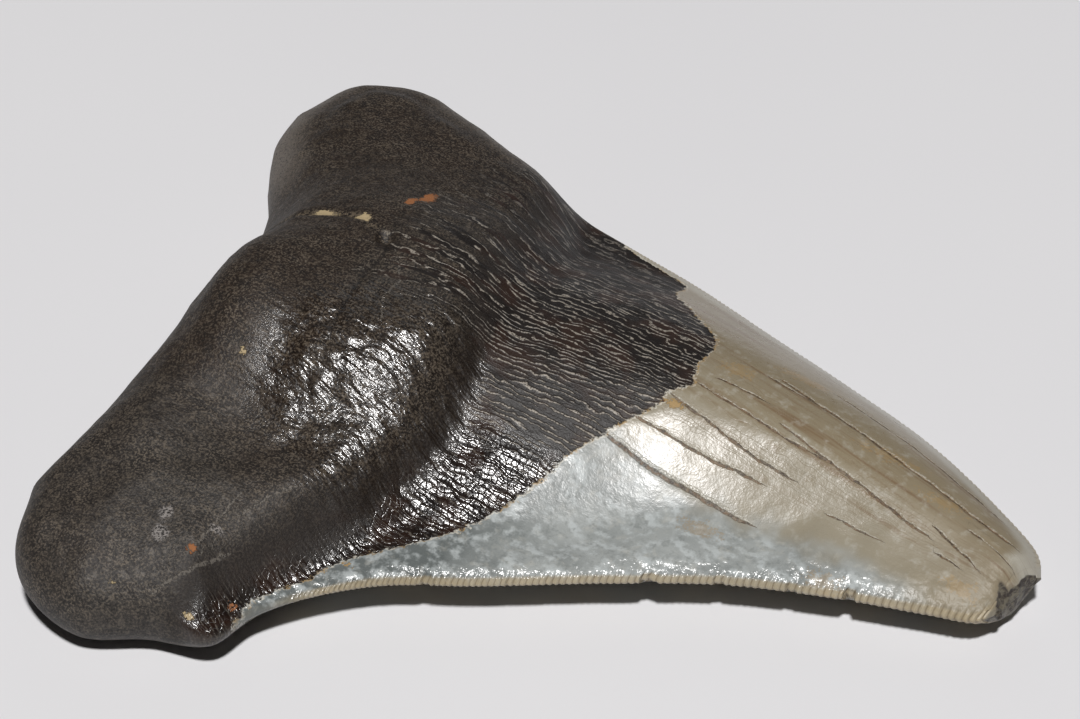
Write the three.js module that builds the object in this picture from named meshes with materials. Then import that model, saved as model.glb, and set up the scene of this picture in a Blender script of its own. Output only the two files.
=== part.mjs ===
// A fossil megalodon tooth, one closed solid, lying on its flat labial face with the lingual face up.
// Millimetres, +Z up. +X runs from the root to the tip of the crown, +Y to the fuller (mesial) cutting
// edge. The origin is on the resting plane, below the middle of the tooth's length and width.
// The tooth is 101.6 long, 90.6 wide across the root lobes and 21.6 thick.
import * as THREE from "three";
import { mergeVertices } from "three/addons/utils/BufferGeometryUtils.js";

// Stations from the basal margin of the root (first) to the tip of the crown (last). Each gives the
// margin on the near (-Y) side and on the far (+Y) side as [x, y, height of the margin], and the
// height of the crown's crest there. The first five go round the root lobes, the rest are the crown.
const STATIONS = [
  { near: [-44.3, -33.5, 6.4], far: [-50.8, 34.5, 8.8], crest: 15.4 },
  { near: [-40.9, -41.7, 5.5], far: [-47.5, 42.9, 8.0], crest: 15.8 },
  { near: [-32.7, -45.3, 4.8], far: [-38.7, 45.3, 7.2], crest: 16.0 },
  { near: [-25.5, -42.4, 4.2], far: [-29.7, 42.1, 6.2], crest: 16.2 },
  { near: [-19.3, -41.3, 3.8], far: [-21.5, 38.3, 5.6], crest: 16.2 },
  { near: [-17.2, -36.3, 4.2], far: [-14.5, 36.0, 5.2], crest: 16.2 },
  { near: [-8.9, -28.5, 4.6], far: [-6.5, 33.1, 5.2], crest: 16.0 },
  { near: [1.3, -23.7, 4.7], far: [2.3, 29.7, 5.3], crest: 15.0 },
  { near: [12.1, -18.2, 4.7], far: [12.5, 25.1, 5.3], crest: 13.7 },
  { near: [23.1, -13.2, 4.6], far: [23.5, 20.3, 5.2], crest: 12.2 },
  { near: [33.7, -10.2, 4.4], far: [34.3, 15.2, 5.0], crest: 10.4 },
  { near: [42.1, -8.4, 4.1], far: [43.9, 8.8, 4.7], crest: 8.4 },
  { near: [46.7, -7.3, 3.9], far: [49.6, 4.1, 4.3], crest: 7.0 },
  { near: [48.3, -5.5, 3.8], far: [50.8, 1.3, 4.0], crest: 5.6 },
];

// The basal margin between the two lobes: [y, x], a shallow bay with a shoulder at each lobe.
const BASAL_MARGIN = [
  [-33.5, -44.3],
  [-28.0, -43.9],
  [-22.5, -43.3],
  [-15.5, -43.1],
  [-7.5, -43.1],
  [1.5, -42.9],
  [9.5, -42.6],
  [16.5, -44.5],
  [21.5, -47.3],
  [28.0, -50.1],
  [34.5, -50.8],
];
const BASAL_REACH = 4.0; // stations over which the bay's shape dies out towards the crown

// The lingual face of the root: a plain height, and mounds [x, y, x radius, y radius, height].
const ROOT_TOP = 12.8;
const DOME = [-23.8, 0.5, 18.0, 20.5, 8.2];
const SHOULDERS = {
  basal: [-36.3, -15.5, 8.0, 14.0, 2.6],
  farLobe: [-36.3, 27.5, 13.0, 15.0, 2.4],
};
const MOUND_SQUARENESS = 1.45; // above 1, a mound has a flatter top and steeper sides
// The dome's flank towards the near lobe is steeper than the rest of it.
const DOME_NEAR = { radius: 17.0, squareness: 2.3, turn: 14.0 };
const ROOT_ROUNDING = 8.0; // width of the rounding from the root's margin to its lingual face
// The near lobe rounds off over a greater width: its lingual face falls away to the margin.
const NEAR_LOBE = { rounding: 16.0, from: -22.0, to: -34.0, basal: { from: -42.0, to: -34.0 } };

// The labial face of the root: a shallow bowl between the lobes, [x, y, x radius, y radius, depth].
const LABIAL_BOWL = [-19.3, -0.5, 16.0, 24.0, 2.2];
const LOBE_FLAT = 0.3; // the bowl's fringe is planed off by this much, so both lobes rest flat
const LABIAL_ROUNDING = 6.0; // width of the rounding from the root's margin to its labial face

// The neck, where root turns into crown: [y, x].
const NECK_LINE = [
  [-46.5, -20.8],
  [-36.5, -19.3],
  [-25.5, -14.8],
  [-13.5, -9.8],
  [-0.5, -8.3],
  [11.5, -11.3],
  [24.5, -13.8],
  [36.5, -16.8],
  [45.5, -19.3],
];
const NECK_WIDTH = 9.0;

// The crown's lingual flanks, [x, fullness]: over 1, they flatten into a bevel at the cutting edges.
const NEAR_FULLNESS = [
  [-10.0, 1.9],
  [2.0, 2.3],
  [13.0, 3.3],
  [28.0, 2.9],
  [45.0, 1.9],
];
const FAR_FULLNESS = [
  [-10.0, 1.6],
  [2.0, 1.35],
  [13.0, 1.25],
  [28.0, 1.3],
  [45.0, 1.5],
];
// How far the crown's crest lies towards its far edge, [x, share of the half width].
const CREST_SHIFT = [
  [-8.0, 0.0],
  [13.0, 0.12],
  [50.0, 0.1],
];

// The crown's labial face: planed flat along its middle, and lifting off the table towards the tip.
const LABIAL_SINK = 0.5;
const TIP_LIFT = { rise: 2.1, from: 30.7, to: 48.7 };
const BREAK_STATIONS = 0.6; // stations over which the labial face rises to the broken end of the tip

// The net of rows (along the tooth) and columns (across it) that both faces are made of.
const ROWS_PER_STATION = 5;
const ROW_CROWDING = 1.3; // over 1, the rows lie closer together at the basal margin
const COLUMNS = 28;
const LAST = STATIONS.length - 1;

const smooth = (t) => {
  const s = Math.min(1, Math.max(0, t));
  return s * s * (3 - 2 * s);
};

const blend = (t, { from, to }) => smooth((t - from) / (to - from));

const quarterRound = (t) => Math.sqrt(1 - (1 - Math.min(1, t)) ** 2);

const marginCurve = (side) =>
  new THREE.CatmullRomCurve3(
    STATIONS.map((station) => new THREE.Vector3(...station[side])),
    false,
    "centripetal",
  );

const NEAR_MARGIN = marginCurve("near");
const FAR_MARGIN = marginCurve("far");

// A smooth curve through [position, value] pairs, as a function of position.
const curveThrough = (pairs) => {
  const curve = new THREE.SplineCurve(pairs.map((pair) => new THREE.Vector2(...pair)));
  const last = pairs.length - 1;
  return (position) => {
    const inside = Math.min(Math.max(position, pairs[0][0]), pairs[last][0]);
    let i = 0;
    while (i < last - 1 && inside > pairs[i + 1][0]) i += 1;
    const share = (inside - pairs[i][0]) / (pairs[i + 1][0] - pairs[i][0]);
    return curve.getPoint((i + share) / last).y;
  };
};

const basalX = curveThrough(BASAL_MARGIN);
const neckX = curveThrough(NECK_LINE);
const crestAt = curveThrough(STATIONS.map(({ crest }, i) => [i, crest]));
const nearFullness = curveThrough(NEAR_FULLNESS);
const farFullness = curveThrough(FAR_FULLNESS);
const crestShiftAt = curveThrough(CREST_SHIFT);

// The point of the net at station s and share v, from -1 at the near margin to +1 at the far one. Its
// height is that of the margins.
const netPoint = (s, v) => {
  const share = (v + 1) / 2;
  const point = NEAR_MARGIN.getPoint(s / LAST).lerp(FAR_MARGIN.getPoint(s / LAST), share);
  const start = NEAR_MARGIN.getPoint(0).lerp(FAR_MARGIN.getPoint(0), share);
  point.x += (basalX(start.y) - start.x) * (1 - smooth(s / BASAL_REACH));
  return point;
};

// The closed margin as seen from above, to measure how far inside it a point lies.
const marginLoop = () => {
  const far = FAR_MARGIN.getPoints(160);
  const near = NEAR_MARGIN.getPoints(160).reverse();
  const basal = Array.from({ length: 59 }, (_, i) => netPoint(0, -1 + (i + 1) / 30));
  return [...far, ...near, ...basal];
};

const MARGIN = marginLoop();

const distanceInside = ({ x, y }) => {
  let nearest = Infinity;
  MARGIN.forEach((a, i) => {
    const b = MARGIN[(i + 1) % MARGIN.length];
    const dx = b.x - a.x;
    const dy = b.y - a.y;
    const along = ((x - a.x) * dx + (y - a.y) * dy) / (dx * dx + dy * dy || 1);
    const t = Math.min(1, Math.max(0, along));
    nearest = Math.min(nearest, Math.hypot(x - a.x - t * dx, y - a.y - t * dy));
  });
  return nearest;
};

const mound = ({ x, y }, [mx, my, rx, ry, height], squareness) => {
  const r2 = ((x - mx) / rx) ** 2 + ((y - my) / ry) ** 2;
  return height * Math.exp(-(r2 ** squareness));
};

const domeTop = (point) => {
  const [x, y, radiusX, radiusY, rise] = DOME;
  const nearer = smooth(0.5 - (point.y - y) / DOME_NEAR.turn);
  const radius = THREE.MathUtils.lerp(radiusY, DOME_NEAR.radius, nearer);
  const squareness = THREE.MathUtils.lerp(MOUND_SQUARENESS, DOME_NEAR.squareness, nearer);
  return mound(point, [x, y, radiusX, radius, rise], squareness);
};

const rootTop = (point) =>
  Object.values(SHOULDERS).reduce(
    (height, each) => height + mound(point, each, MOUND_SQUARENESS),
    ROOT_TOP + domeTop(point),
  );

const rootRounding = ({ x, y }) =>
  THREE.MathUtils.lerp(
    ROOT_ROUNDING,
    NEAR_LOBE.rounding,
    blend(y, NEAR_LOBE) * blend(x, NEAR_LOBE.basal),
  );

// 0 on the root, 1 on the crown.
const crownShare = ({ x, y }) => smooth(0.5 + (x - neckX(y)) / NECK_WIDTH);

const fullnessAt = (x, v) =>
  THREE.MathUtils.lerp(nearFullness(x), farFullness(x), smooth(0.5 + v * 1.5));

const crownHeight = (s, v, point) => {
  const fromCrest = v - crestShiftAt(point.x) * (1 - v * v);
  const flank = Math.max(1 - fromCrest ** 2, 0) ** fullnessAt(point.x, v);
  return point.z + (crestAt(s) - point.z) * flank;
};

const lingualHeight = (s, v, point, inside) => {
  const root = point.z + (rootTop(point) - point.z) * quarterRound(inside / rootRounding(point));
  return THREE.MathUtils.lerp(root, crownHeight(s, v, point), crownShare(point));
};

const labialHeight = (s, v, point, inside) => {
  const bowl = Math.max(0, mound(point, LABIAL_BOWL, 1) - LOBE_FLAT);
  const root = point.z - (point.z - bowl) * quarterRound(inside / LABIAL_ROUNDING);
  const sink = LABIAL_SINK - TIP_LIFT.rise * blend(point.x, TIP_LIFT);
  const toBreak = (LAST - s) / BREAK_STATIONS;
  const rim = THREE.MathUtils.lerp(point.z, crownHeight(s, v, point), smooth(1 - toBreak));
  const crown = rim - (rim + sink) * (1 - v * v) * quarterRound(toBreak);
  return Math.max(0, THREE.MathUtils.lerp(root, crown, crownShare(point)));
};

const rowStations = () => {
  const count = LAST * ROWS_PER_STATION;
  return Array.from({ length: count + 1 }, (_, i) => LAST * (i / count) ** ROW_CROWDING);
};

// Columns lie closer together at both margins, so that the roundness there is caught.
const columnShares = () =>
  Array.from({ length: COLUMNS + 1 }, (_, i) => -Math.cos((Math.PI * i) / COLUMNS));

const face = (heightAt) =>
  rowStations().map((s) =>
    columnShares().map((v) => {
      const point = netPoint(s, v);
      const onMargin = Math.abs(v) === 1 || s === 0;
      const edge = s === LAST ? crownHeight(s, v, point) : point.z;
      const height = onMargin || s === LAST ? edge : heightAt(s, v, point, distanceInside(point));
      return [point.x, point.y, height];
    }),
  );

const facets = (rows, upwards) => {
  const corners = [];
  for (let i = 0; i < rows.length - 1; i += 1) {
    for (let j = 0; j < COLUMNS; j += 1) {
      const a = rows[i][j];
      const b = rows[i + 1][j];
      const c = rows[i + 1][j + 1];
      const d = rows[i][j + 1];
      corners.push(...(upwards ? [a, b, c, a, c, d] : [a, c, b, a, d, c]));
    }
  }
  return corners.flat();
};

const toothGeometry = () => {
  const corners = [...facets(face(lingualHeight), true), ...facets(face(labialHeight), false)];
  const loose = new THREE.BufferGeometry();
  loose.setAttribute("position", new THREE.Float32BufferAttribute(corners, 3));
  const geometry = mergeVertices(loose, 1e-4);
  geometry.computeVertexNormals();
  return geometry;
};

const fossilMaterial = new THREE.MeshStandardMaterial({
  color: 0x4a4640,
  roughness: 0.45,
  metalness: 0,
});

const tooth = new THREE.Mesh(toothGeometry(), fossilMaterial);
tooth.name = "tooth";

const part = new THREE.Group();
part.add(tooth);

export default part;
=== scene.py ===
import math

import bpy
import numpy as np
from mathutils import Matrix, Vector


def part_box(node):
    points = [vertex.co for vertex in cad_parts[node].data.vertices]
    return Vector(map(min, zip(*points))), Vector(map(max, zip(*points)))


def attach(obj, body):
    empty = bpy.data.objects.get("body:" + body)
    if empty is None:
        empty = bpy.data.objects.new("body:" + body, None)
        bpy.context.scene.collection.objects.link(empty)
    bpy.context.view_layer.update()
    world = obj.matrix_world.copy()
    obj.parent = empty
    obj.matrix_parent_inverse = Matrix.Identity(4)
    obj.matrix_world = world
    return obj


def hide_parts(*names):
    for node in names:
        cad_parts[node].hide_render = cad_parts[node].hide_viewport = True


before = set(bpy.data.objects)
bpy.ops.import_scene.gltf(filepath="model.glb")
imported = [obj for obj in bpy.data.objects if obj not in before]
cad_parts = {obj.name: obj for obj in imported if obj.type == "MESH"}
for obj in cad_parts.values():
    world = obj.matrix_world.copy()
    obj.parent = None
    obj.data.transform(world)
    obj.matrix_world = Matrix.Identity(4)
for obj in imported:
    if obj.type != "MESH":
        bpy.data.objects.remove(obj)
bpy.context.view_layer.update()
low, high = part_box("tooth")

DRAWN_LENGTH = 101.6
UNIT = (high.x - low.x) / DRAWN_LENGTH  # metres for each drawn millimetre
PLACE = Vector(((low.x + high.x) / 2, (low.y + high.y) / 2, low.z))

# ---------------------------------------------------------------- the tooth's outline

# Stations from the basal margin of the root to the tip: the margin on the near and on the far side
# as [x, y, height], and the height of the crown's crest.
STATIONS = [
    ([-44.3, -33.5, 6.4], [-50.8, 34.5, 8.8], 15.4),
    ([-40.9, -41.7, 5.5], [-47.5, 42.9, 8.0], 15.8),
    ([-32.7, -45.3, 4.8], [-38.7, 45.3, 7.2], 16.0),
    ([-25.5, -42.4, 4.2], [-29.7, 42.1, 6.2], 16.2),
    ([-19.3, -41.3, 3.8], [-21.5, 38.3, 5.6], 16.2),
    ([-17.2, -36.3, 4.2], [-14.5, 36.0, 5.2], 16.2),
    ([-8.9, -28.5, 4.6], [-6.5, 33.1, 5.2], 16.0),
    ([1.3, -23.7, 4.7], [2.3, 29.7, 5.3], 15.0),
    ([12.1, -18.2, 4.7], [12.5, 25.1, 5.3], 13.7),
    ([23.1, -13.2, 4.6], [23.5, 20.3, 5.2], 12.2),
    ([33.7, -10.2, 4.4], [34.3, 15.2, 5.0], 10.4),
    ([42.1, -8.4, 4.1], [43.9, 8.8, 4.7], 8.4),
    ([46.7, -7.3, 3.9], [49.6, 4.1, 4.3], 7.0),
    ([48.3, -5.5, 3.8], [50.8, 1.3, 4.0], 5.6),
]
LAST = len(STATIONS) - 1
NEAR = [near for near, far, crest in STATIONS]
FAR = [far for near, far, crest in STATIONS]
CREST = [[number, crest] for number, (near, far, crest) in enumerate(STATIONS)]

# The basal margin between the two lobes: [y, x].
BASAL_MARGIN = [
    [-33.5, -44.3],
    [-28.0, -43.9],
    [-22.5, -43.3],
    [-15.5, -43.1],
    [-7.5, -43.1],
    [1.5, -42.9],
    [9.5, -42.6],
    [16.5, -44.5],
    [21.5, -47.3],
    [28.0, -50.1],
    [34.5, -50.8],
]
BASAL_REACH = 4.0

# The root's lingual face: a plain height and mounds [x, y, x radius, y radius, height]. The dome's
# near flank is steeper than the rest.
ROOT_TOP = 12.8
DOME = [-23.8, 0.5, 18.0, 20.5, 8.2]
DOME_NEAR_RADIUS = 17.0
DOME_NEAR_SQUARENESS = 2.3
ROOT_MOUNDS = [
    [-36.3, -15.5, 8.0, 14.0, 2.6],
    [-36.3, 27.5, 13.0, 15.0, 2.4],
]
MOUND_SQUARENESS = 1.45
ROOT_ROUNDING = 8.0
NEAR_LOBE_ROUNDING = 16.0

LABIAL_BOWL = [-19.3, -0.5, 16.0, 24.0, 2.2]
LOBE_FLAT = 0.3
LABIAL_ROUNDING = 6.0

# The neck, where root turns into crown: [y, x].
NECK_LINE = [
    [-46.5, -20.8],
    [-36.5, -19.3],
    [-25.5, -14.8],
    [-13.5, -9.8],
    [-0.5, -8.3],
    [11.5, -11.3],
    [24.5, -13.8],
    [36.5, -16.8],
    [45.5, -19.3],
]
NECK_WIDTH = 9.0

# The crown's lingual flanks, [x, fullness]: over 1, they flatten into a bevel towards the edges.
NEAR_FULLNESS = [[-10.0, 1.9], [2.0, 2.3], [13.0, 3.3], [28.0, 2.9], [45.0, 1.9]]
FAR_FULLNESS = [[-10.0, 1.6], [2.0, 1.35], [13.0, 1.25], [28.0, 1.3], [45.0, 1.5]]
# How far the crest lies towards the far edge: [x, share].
CREST_SHIFT = [[-8.0, 0.0], [13.0, 0.12], [50.0, 0.10]]
LABIAL_SINK = 0.5
TIP_RISE, TIP_RISE_FROM, TIP_RISE_TO = 2.1, 30.7, 48.7
BREAK_STATIONS = 0.6  # stations over which the labial face rises to the broken end of the tip

# ---------------------------------------------------------------- what lies on its faces

# Where enamel begins on the lingual face and on the labial face: [y, x].
LINGUAL_ENAMEL_LINE = [
    [-37.0, -18.2],
    [-34.7, -17.2],
    [-31.2, -14.8],
    [-26.7, -11.6],
    [-21.7, -5.8],
    [-16.3, -1.2],
    [-10.5, 2.1],
    [-8.3, 3.2],
    [-4.2, 5.8],
    [-1.7, 7.7],
    [0.6, 9.8],
    [2.1, 9.9],
    [3.9, 11.9],
    [6.7, 11.2],
    [9.6, 11.5],
    [13.2, 10.7],
    [16.4, 7.9],
    [18.1, 6.1],
    [23.2, 2.1],
    [28.6, 0.9],
    [31.6, -3.6],
    [34.5, -9.0],
]
LABIAL_ENAMEL_LINE = [
    [-37.0, -18.2],
    [-30.0, -16.4],
    [-20.0, -12.6],
    [-10.0, -9.4],
    [0.0, -8.2],
    [12.0, -8.8],
    [24.0, -10.4],
    [34.5, -9.0],
]

# The valley between the root's dome and the bourlette: [y, x].
VALLEY_LINE = [
    [-40.0, -22.0],
    [-34.1, -18.6],
    [-25.8, -14.2],
    [-18.2, -10.1],
    [-14.0, -8.4],
    [-8.7, -7.4],
    [-2.1, -9.0],
    [6.0, -12.0],
    [20.0, -14.0],
    [36.0, -16.0],
]

# Paths on the lingual face of the root, [x, y].
GROOVE = [[-43.0, 5.5], [-36.5, 6.7], [-32.1, 7.7], [-27.5, 7.6], [-25.7, 6.3], [-24.0, 5.4]]
ROOT_CRACK = [[-23.0, 4.4], [-22.2, 2.4], [-22.4, -0.8], [-22.3, -4.1], [-21.8, -9.3], [-24.2, -11.1]]
FORAMEN = [-23.4, 4.8]
RING = [-21.8, 6.8]

# Cracks along the crown: x from and to, y there, sag, width, depth, and how broken up they are.
# Neighbours are in different sets.
CRACKS = {
    "odd": [
        (7.6, 23.2, -1.5, -2.2, 0.0, 0.15, 0.10, 0.4),
        (12.0, 28.8, 4.5, 1.4, -0.25, 0.13, 0.07, 0.8),
        (17.4, 26.8, 9.8, 7.8, -0.1, 0.15, 0.08, 0.6),
        (29.0, 36.2, -2.6, -3.6, 0.0, 0.11, 0.05, 0.5),
        (24.0, 46.6, 12.6, 4.6, 0.3, 0.15, 0.08, 0.6),
        (39.4, 46.2, -0.5, -3.7, 0.0, 0.13, 0.06, 0.3),
    ],
    "even": [
        (5.6, 23.6, -4.4, -5.9, 0.0, 0.22, 0.16, 0.1),
        (9.6, 26.0, 2.2, -1.1, -0.3, 0.15, 0.10, 0.5),
        (13.4, 20.6, 6.0, 5.3, 0.1, 0.12, 0.06, 0.5),
        (21.5, 40.8, 3.5, -2.1, 0.0, 0.15, 0.10, 0.5),
        (18.8, 49.0, 10.2, 0.6, -0.2, 0.19, 0.14, 0.4),
        (42.8, 49.4, 0.4, -2.2, 0.1, 0.12, 0.06, 0.2),
        (40.4, 44.6, -3.0, -3.9, 0.0, 0.10, 0.04, 0.3),
    ],
}
# How a crack strays from its even run: length and height of its waves.
CRACK_WAVES = [(9.3, 0.06), (3.7, 0.03), (1.9, 0.02)]

CRACK_CUT = 0.5  # share of a crack's depth that the mesh has, the rest being in the finish

# Scratches and fine pale cracks on the root, as paths of [x, y].
SCRATCHES = [
    [[-22.2, -28.2], [-22.9, -32.0], [-23.5, -36.2]],
    [[-20.7, -34.1], [-23.0, -38.2], [-25.7, -41.4]],
    [[-17.8, -25.5], [-19.9, -28.3], [-21.6, -31.5]],
    [[-20.2, 1.6], [-18.6, -1.4], [-18.9, -4.6], [-17.4, -7.8]],
]

# Marks on the lingual face: x, y, half lengths along x and y.
MARKS = {
    "sand": [
        (-32.0, 7.7, 1.6, 0.5),
        (-27.5, 7.6, 0.9, 0.7),
        (-23.4, 4.2, 0.3, 0.5),
        (-29.6, -15.0, 0.4, 0.35),
        (-29.5, -42.2, 0.35, 0.3),
        (-21.8, -41.0, 0.5, 0.35),
    ],
    "orange": [
        (-24.9, 13.6, 0.45, 1.5),
        (-24.1, 16.3, 0.60, 1.7),
        (-23.7, -36.5, 0.5, 0.5),
        (-18.9, -37.4, 0.45, 0.45),
        (-11.6, -27.4, 0.9, 0.30),
        (11.2, 1.2, 1.0, 0.45),
    ],
    "stain": [
        (15.2, 8.8, 1.5, 1.1),
        (18.1, -8.5, 2.0, 0.9),
        (32.0, -9.6, 1.5, 0.8),
        (21.0, 12.5, 2.6, 0.8),
        (33.0, 5.2, 3.0, 0.7),
        (44.5, -5.4, 1.6, 0.7),
        (40.0, 2.2, 2.4, 0.6),
    ],
    # Spots where glints are painted on the near lobe.
    "painted_glint": [
        (-27.8, -34.2, 0.9, 0.8),
        (-27.2, -36.4, 1.0, 0.9),
        (-22.6, -33.4, 1.0, 0.5),
    ],
}


def smooth(share):
    share = np.clip(share, 0.0, 1.0)
    return share * share * (3.0 - 2.0 * share)


def lerp(start, end, share):
    return start + (end - start) * share


def quarter_round(share):
    return np.sqrt(1.0 - (1.0 - np.clip(share, 0.0, 1.0)) ** 2)


def margin_curve(points, at):
    """A smooth curve through the points, at places counted in points."""
    points = np.array(points, float)
    ends = np.vstack([2 * points[0] - points[1], points, 2 * points[-1] - points[-2]])
    first = np.clip(np.floor(at).astype(int), 0, len(points) - 2)
    share = (at - first)[..., None]
    p0, p1, p2, p3 = (ends[first + step] for step in range(4))
    spans = ((p0, p1), (p1, p2), (p2, p3))
    d0, d1, d2 = (np.sqrt(np.linalg.norm(b - a, axis=-1, keepdims=True)) for a, b in spans)
    leaving = ((p1 - p0) / d0 - (p2 - p0) / (d0 + d1) + (p2 - p1) / d1) * d1
    arriving = ((p2 - p1) / d1 - (p3 - p1) / (d1 + d2) + (p3 - p2) / d2) * d1
    bend = -3 * p1 + 3 * p2 - 2 * leaving - arriving
    twist = 2 * p1 - 2 * p2 + leaving + arriving
    return p1 + share * (leaving + share * (bend + share * twist))


def curve_through(pairs):
    """A smooth function through [position, value] pairs."""
    places, values = np.array(pairs, float).T

    def curve(position):
        held = np.clip(position, places[0], places[-1])
        first = np.clip(np.searchsorted(places, held, side="right") - 1, 0, len(places) - 2)
        share = (held - places[first]) / (places[first + 1] - places[first])
        p0 = values[np.maximum(first - 1, 0)]
        p1 = values[first]
        p2 = values[first + 1]
        p3 = values[np.minimum(first + 2, len(values) - 1)]
        leaving = (p2 - p0) / 2
        arriving = (p3 - p1) / 2
        bend = -3 * p1 + 3 * p2 - 2 * leaving - arriving
        twist = 2 * p1 - 2 * p2 + leaving + arriving
        return p1 + share * (leaving + share * (bend + share * twist))

    return curve


basal_x = curve_through(BASAL_MARGIN)
neck_x = curve_through(NECK_LINE)
crest_at = curve_through(CREST)
near_fullness = curve_through(NEAR_FULLNESS)
far_fullness = curve_through(FAR_FULLNESS)
crest_shift = curve_through(CREST_SHIFT)
lingual_enamel_x = curve_through(LINGUAL_ENAMEL_LINE)
labial_enamel_x = curve_through(LABIAL_ENAMEL_LINE)
valley_x = curve_through(VALLEY_LINE)


def net_point(station, across):
    """A point of the net at a station, from -1 on the near margin to 1 on the far one."""
    share = ((across + 1) / 2)[..., None]
    point = lerp(margin_curve(NEAR, station), margin_curve(FAR, station), share)
    start = lerp(np.array(NEAR[0]), np.array(FAR[0]), share)
    point[..., 0] += (basal_x(start[..., 1]) - start[..., 0]) * (1 - smooth(station / BASAL_REACH))
    return point


def distance_to(path, x, y, closed=False):
    """How far points lie from a path of [x, y] points."""
    path = np.array(path, float)[:, :2]
    ends = np.roll(path, -1, axis=0) if closed else path[1:]
    starts = path if closed else path[:-1]
    nearest = np.full(x.shape, 1e9)
    for (ax, ay), (bx, by) in zip(starts, ends):
        dx, dy = bx - ax, by - ay
        along = np.clip(((x - ax) * dx + (y - ay) * dy) / (dx * dx + dy * dy + 1e-12), 0, 1)
        nearest = np.minimum(nearest, np.hypot(x - ax - along * dx, y - ay - along * dy))
    return nearest


def past_line(line_x, x, y):
    """How far points lie past a line that is given as x for each y, less than 0 before it."""
    ys = np.linspace(-46.0, 46.0, 93)
    path = np.stack([line_x(ys), ys], axis=-1)
    return distance_to(path, x, y) * np.sign(x - line_x(y))


def mound(x, y, shape, squareness):
    mx, my, rx, ry, height = shape
    return height * np.exp(-((((x - mx) / rx) ** 2 + ((y - my) / ry) ** 2) ** squareness))


# ---------------------------------------------------------------- the net of the mesh

ROWS = 190
ROW_CROWDING = 0.55  # share of the rows' spacing that is given up at both ends
COLUMNS = 188
EDGE_COLUMNS = [0.0, 0.08, 0.18, 0.32, 0.50, 0.74, 1.05]  # distances of the outer columns from the edge
BAND = len(EDGE_COLUMNS) - 1
TOOTHED_FROM = {"near": 5.15, "far": 5.6}  # stations
SPLIT = 6  # parts that each row is split into along the toothed edges

RIM_HALF = 0.22  # half the thickness of the edge
RIM_ROUND = 0.30
RIM_FADE = 7.0
EDGE_BEVEL = 0.75  # height of the steep band along the near edge
BEVEL_WIDTH = 2.4
BEVEL_SWELLS = [(16.5, 4.5, 1.7), (29.5, 2.6, 1.7), (35.0, 2.0, 0.9)]  # where it widens: x, half, by how much

# Serrations.
SHOULDER_PITCH = 0.50
CROWN_PITCH = 0.72  # from the crown's middle to the tip
FAR_SERRATIONS = 0.6  # depth on the far edge, as a share of the depth on the near one

GROWTH_PITCH = 0.52
GROWTH_SPREAD = 0.04  # how much the pitch grows for each millimetre towards the far edge
LOBE_CREASE = 0.4  # depth of the crease inside the far lobe's rolled edge

# The wedge broken out of the tip: its corner, where the break begins, and its depth.
CHIP_CORNER = [47.6, -3.1]
CHIP_LEAN = 0.25
CHIP_DEPTH = 1.1
BREAK_JAG = 0.14  # how far the broken end strays from a straight line

# Chips out of the near edge: place along it as x, half width and depth.
NICKS = [(15.9, 0.7, 0.5), (22.4, 0.5, 0.25), (34.6, 0.55, 0.75), (29.0, 0.5, 0.2), (-4.0, 0.5, 0.2)]


def row_stations():
    """Stations of the rows, evenly spaced along the tooth but closer together at its two ends."""
    dense = np.linspace(0, LAST, 1301)
    middle = (margin_curve(NEAR, dense) + margin_curve(FAR, dense)) / 2
    middle[:, 0] = net_point(dense, np.zeros(len(dense)))[:, 0]
    length = np.concatenate([[0], np.cumsum(np.linalg.norm(np.diff(middle, axis=0), axis=1))])
    even = np.linspace(0, 1, ROWS + 1)
    crowded = (1 - ROW_CROWDING) * even + ROW_CROWDING * (1 - np.cos(np.pi * even)) / 2
    return np.interp(crowded * length[-1], length, dense)


def column_across(station, column):
    """Across positions of the columns: the outer ones keep their distance from the edge."""
    width = np.linalg.norm(margin_curve(FAR, station) - margin_curve(NEAR, station), axis=-1)
    inner = EDGE_COLUMNS[-1] * 2 / width
    steps = np.array(EDGE_COLUMNS) * 2
    near = np.interp(column, np.arange(BAND + 1), steps) / width - 1
    far = 1 - np.interp(COLUMNS - column, np.arange(BAND + 1), steps) / width
    share = (column - BAND) / (COLUMNS - 2 * BAND)
    between = (inner - 1) + (2 - 2 * inner) * share
    return np.where(column < BAND, near, np.where(column > COLUMNS - BAND, far, between))


def cell_corners(coarse):
    """Corners (fine row, column) of every cell of the net, with those on split edges put in."""
    cells = []
    for row in range(ROWS):
        start = row * SPLIT
        near_split = coarse[row] >= TOOTHED_FROM["near"]
        far_split = coarse[row] >= TOOTHED_FROM["far"]
        for column in range(COLUMNS):
            split_here = (near_split and column < BAND) or (far_split and column >= COLUMNS - BAND)
            if split_here:
                for part in range(SPLIT):
                    a = start + part
                    cells.append([(a, column), (a + 1, column), (a + 1, column + 1), (a, column + 1)])
                continue
            cell = [(start, column), (start + SPLIT, column)]
            cell += [(start + SPLIT, column + 1), (start, column + 1)]
            if near_split and column == BAND:
                cell = [(start + part, column) for part in range(SPLIT + 1)] + cell[2:]
            if far_split and column == COLUMNS - BAND - 1:
                cell = cell[:2] + [(start + part, column + 1) for part in range(SPLIT, -1, -1)]
            cells.append(cell)
    return cells


LABIAL, SHARED, LINGUAL = 0, 1, 2


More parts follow.
